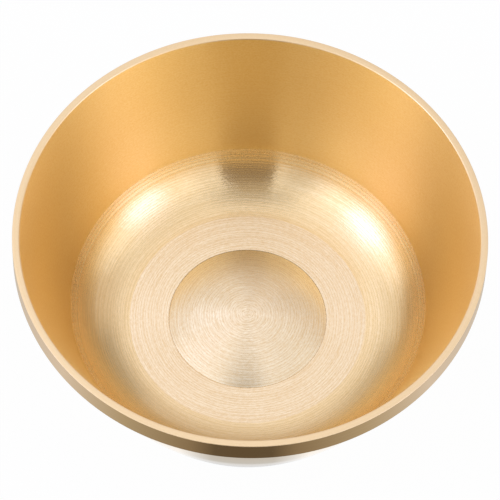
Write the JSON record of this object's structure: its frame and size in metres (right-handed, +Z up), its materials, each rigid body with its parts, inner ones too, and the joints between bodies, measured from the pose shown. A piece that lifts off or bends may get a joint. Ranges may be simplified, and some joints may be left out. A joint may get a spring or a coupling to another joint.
{
  "type": "offering bowl",
  "caption": "Round turned brass bowl for altar offerings: flat-topped rim band, tapering wall, curved floor with a low centre dome, hollow foot to stand on.",
  "frame": {"origin": "centre of the standing ring under the foot, on the surface that the bowl stands on", "axes": "+Z up along the axis that the bowl was turned on; X and Y are free, because the bowl is round"},
  "size_m": [0.09, 0.09, 0.0428],
  "materials": {
    "satin_brass": "turned on a lathe and satin finished inside, polished outside",
    "turned_brass": "turned on a lathe, fine concentric lines left in the surface",
    "polished_brass": "polished outside, turned underneath"
  },
  "bodies": {
    "root": {"bowl_shell": "satin_brass", "centre_boss": "turned_brass", "foot": "polished_brass"}
  },
  "joints": []
}
